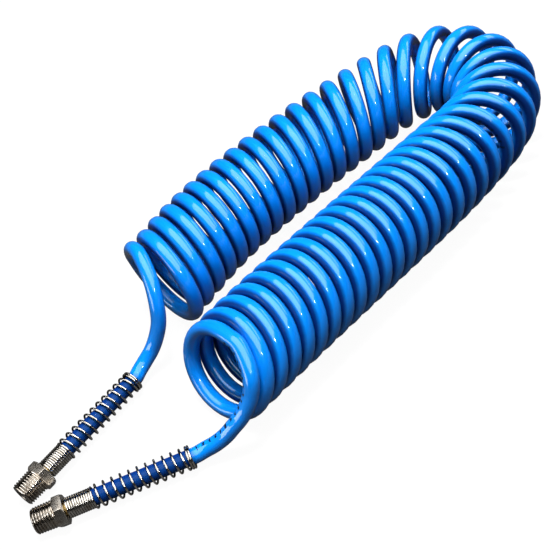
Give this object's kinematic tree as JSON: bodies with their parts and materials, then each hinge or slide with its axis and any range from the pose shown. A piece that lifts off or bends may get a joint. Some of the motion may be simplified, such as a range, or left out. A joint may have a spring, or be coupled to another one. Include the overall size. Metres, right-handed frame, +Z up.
{
  "type": "coiled air hose",
  "caption": "Wound recoil hose for compressed air, folded into a U, with a spring guard and a swivelling male pipe fitting on each free end.",
  "frame": {"origin": "on the ground, under the middle of the outline seen from above", "axes": "+Z up from the ground that the coil lies on, +Y along the legs towards the bend, +X across the legs, so the two threads point towards -Y"},
  "size_m": [0.1422, 0.3832, 0.0542],
  "materials": {
    "hose": "glossy azure polyurethane",
    "body": "bright nickel plate on brass",
    "stem": "machined",
    "seal": "matte",
    "ring": "drawn wire",
    "spring": "bright nickel-plated drawn wire"
  },
  "bodies": {
    "hose": {"hose_coil": "hose", "hose_lead_a": "hose", "hose_lead_b": "hose", "hose_end_a": "hose", "hose_end_b": "hose", "swivel_stem_a": "stem", "swivel_stem_b": "stem", "o_ring_a": "seal", "o_ring_b": "seal", "spring_guard_a": "spring", "spring_guard_b": "spring"},
    "fitting_a": {"male_body_a": "body", "retaining_ring_a": "ring"},
    "fitting_b": {"male_body_b": "body", "retaining_ring_b": "ring"}
  },
  "joints": [
    {"name": "swivel_a", "type": "hinge", "parent": "hose", "child": "fitting_a", "pos_m": [0.00429, -0.17115, 0.007], "axis": [0.165, -0.9863, 0], "continuous": true},
    {"name": "swivel_b", "type": "hinge", "parent": "hose", "child": "fitting_b", "pos_m": [0.0301, -0.17521, 0.007], "axis": [-0.3987, -0.9171, 0], "continuous": true}
  ]
}
